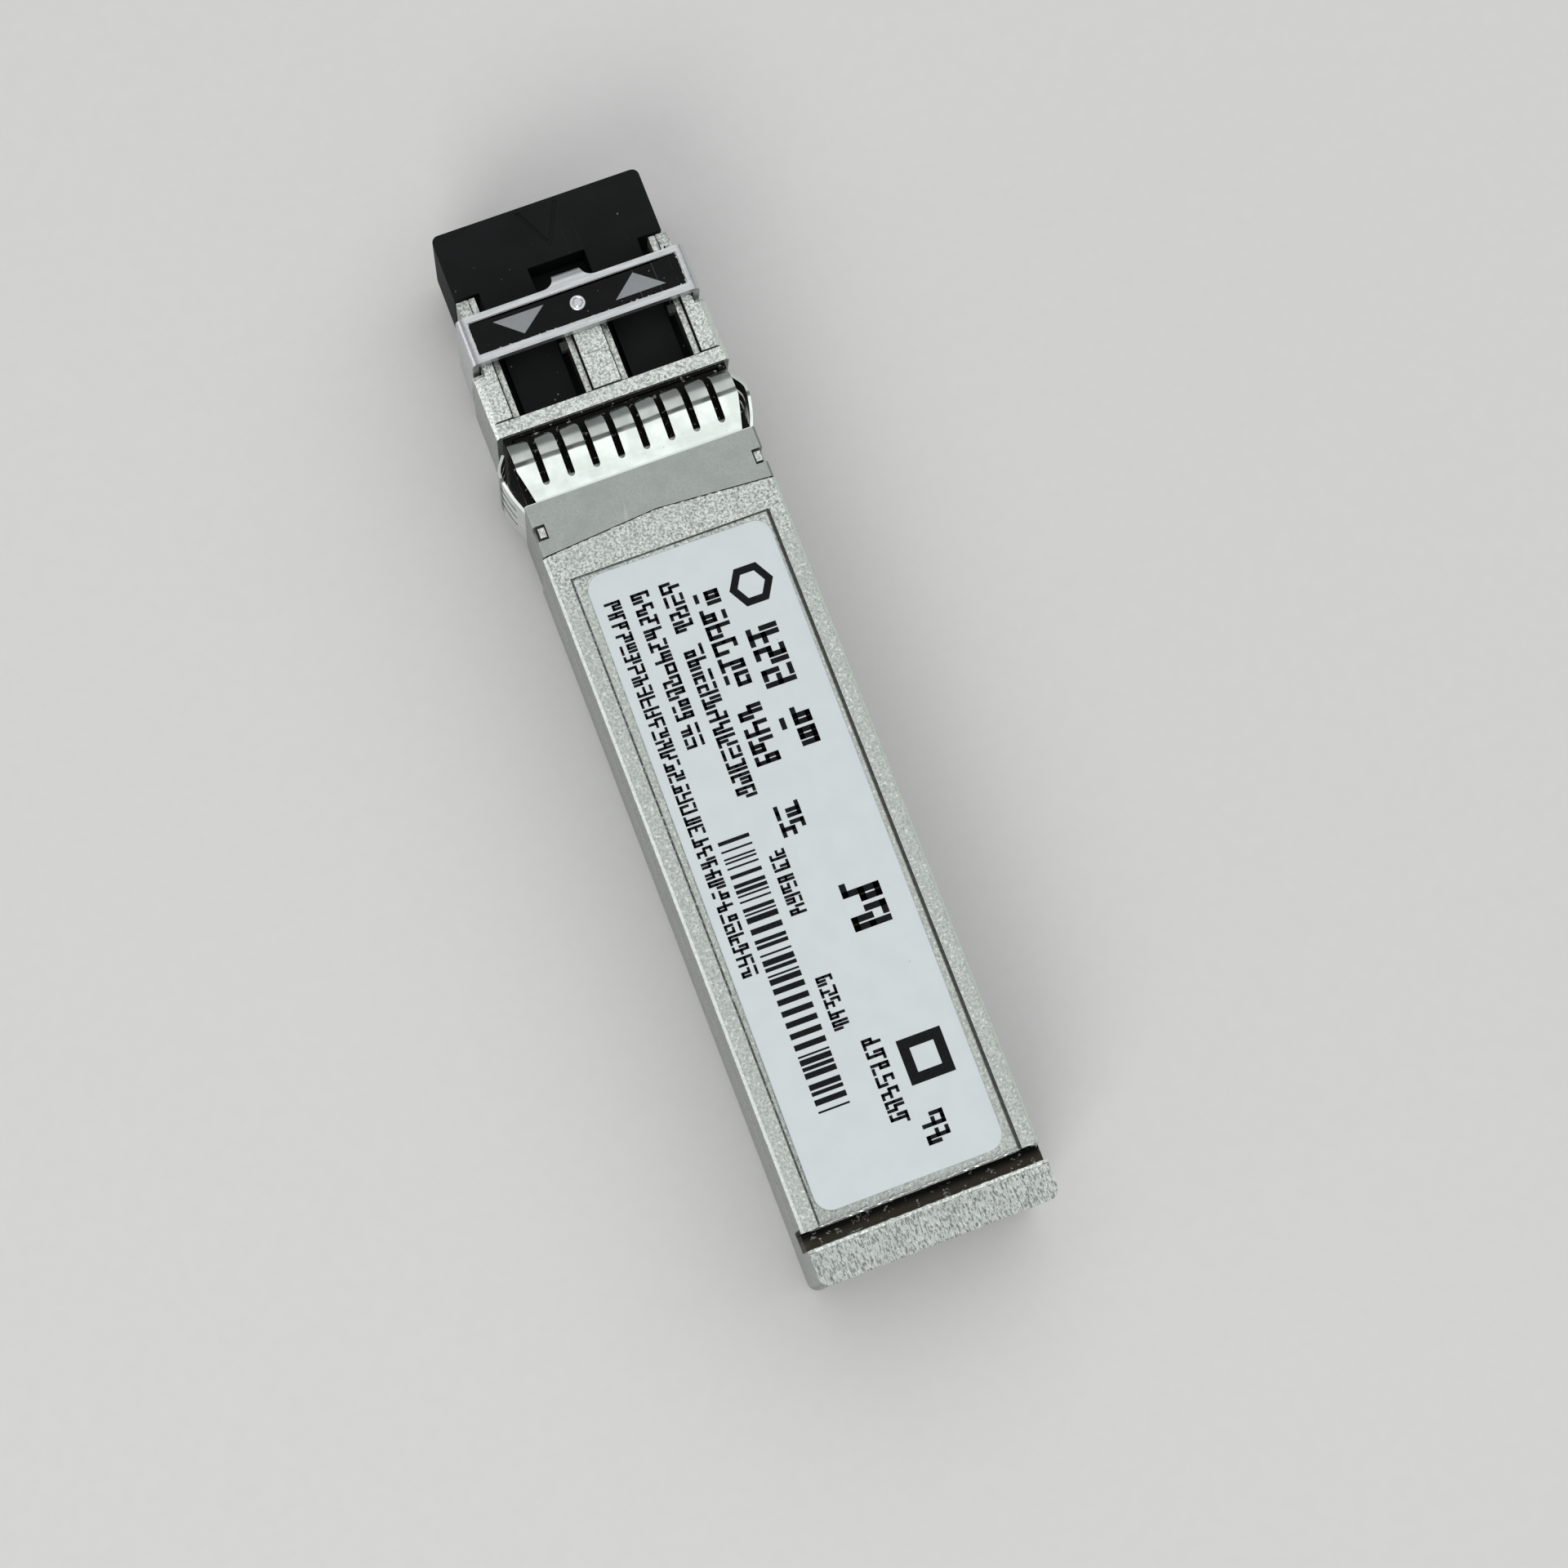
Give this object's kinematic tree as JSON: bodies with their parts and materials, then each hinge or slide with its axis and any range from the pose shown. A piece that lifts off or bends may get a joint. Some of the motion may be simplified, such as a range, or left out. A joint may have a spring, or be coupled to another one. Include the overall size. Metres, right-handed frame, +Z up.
{
  "type": "optical transceiver module",
  "caption": "Small form-factor pluggable optical transceiver with a die-cast shell, spring collar, bail latch, label and a duplex dust plug in its optical ports.",
  "frame": {"origin": "on the flat underside of the shell, on its centre line, midway between the nose tips and the rear face", "axes": "+Y from the nose to the electrical edge at the rear, +Z up through the labelled cover, +X towards the receive port, which is on the right for a viewer facing the nose"},
  "size_m": [0.0144, 0.0608, 0.0098],
  "materials": {
    "cast_zinc": "satin",
    "spring_steel": "gloss",
    "stamped_steel": "satin",
    "label_film": "satin",
    "black_film": "satin",
    "dust_rubber": "matte",
    "laminate": "satin",
    "optics_steel": "satin",
    "barrel_ceramic": "satin",
    "polyimide": "satin",
    "chip_resin": "matte",
    "ferrite": "matte",
    "capacitor_body": "satin",
    "gap_pad": "matte",
    "absorber": "matte"
  },
  "bodies": {
    "module": {"base_housing": "cast_zinc", "top_cover": "cast_zinc", "product_label": "label_film", "emi_collar": "spring_steel", "latch_pivot_pin": "stamped_steel", "latch_spring": "spring_steel", "circuit_board": "laminate", "transmit_can": "optics_steel", "transmit_barrel": "barrel_ceramic", "receive_can": "optics_steel", "receive_barrel": "barrel_ceramic", "barrel_retainer": "cast_zinc", "transmit_flex": "polyimide", "receive_flex": "polyimide", "transmit_retimer": "chip_resin", "receive_retimer": "chip_resin", "thermal_pad_1": "gap_pad", "thermal_pad_2": "gap_pad", "microcontroller": "chip_resin", "memory_chip": "chip_resin", "power_inductor_1": "ferrite", "power_inductor_2": "ferrite", "capacitor_1": "capacitor_body", "capacitor_2": "capacitor_body", "capacitor_3": "capacitor_body", "capacitor_4": "capacitor_body", "capacitor_5": "capacitor_body", "capacitor_6": "capacitor_body", "absorber_sheet": "absorber"},
    "plug": {"dust_plug": "dust_rubber"},
    "bail": {"bail": "stamped_steel", "bail_label": "black_film"},
    "latch": {"latch_lever": "cast_zinc"}
  },
  "joints": [
    {"name": "dust_plug_slide", "type": "slide", "parent": "module", "child": "plug", "axis": [0, -1, 0], "range_m": [0, 0.04]},
    {"name": "bail_hinge", "type": "hinge", "parent": "module", "child": "bail", "pos_m": [0, -0.02565, 0.00175], "axis": [1, 0, 0], "range_deg": [0, 90]},
    {"name": "latch_hinge", "type": "hinge", "parent": "module", "child": "latch", "pos_m": [0, -0.02195, 0.0009], "axis": [1, 0, 0], "range_deg": [0, 7], "deforming": ["latch_spring"]}
  ],
  "couplings": [
    {"joint": "bail_hinge", "follows": "dust_plug_slide", "rad_per_m": 39.26},
    {"joint": "latch_hinge", "follows": "dust_plug_slide", "rad_per_m": 3.05}
  ]
}
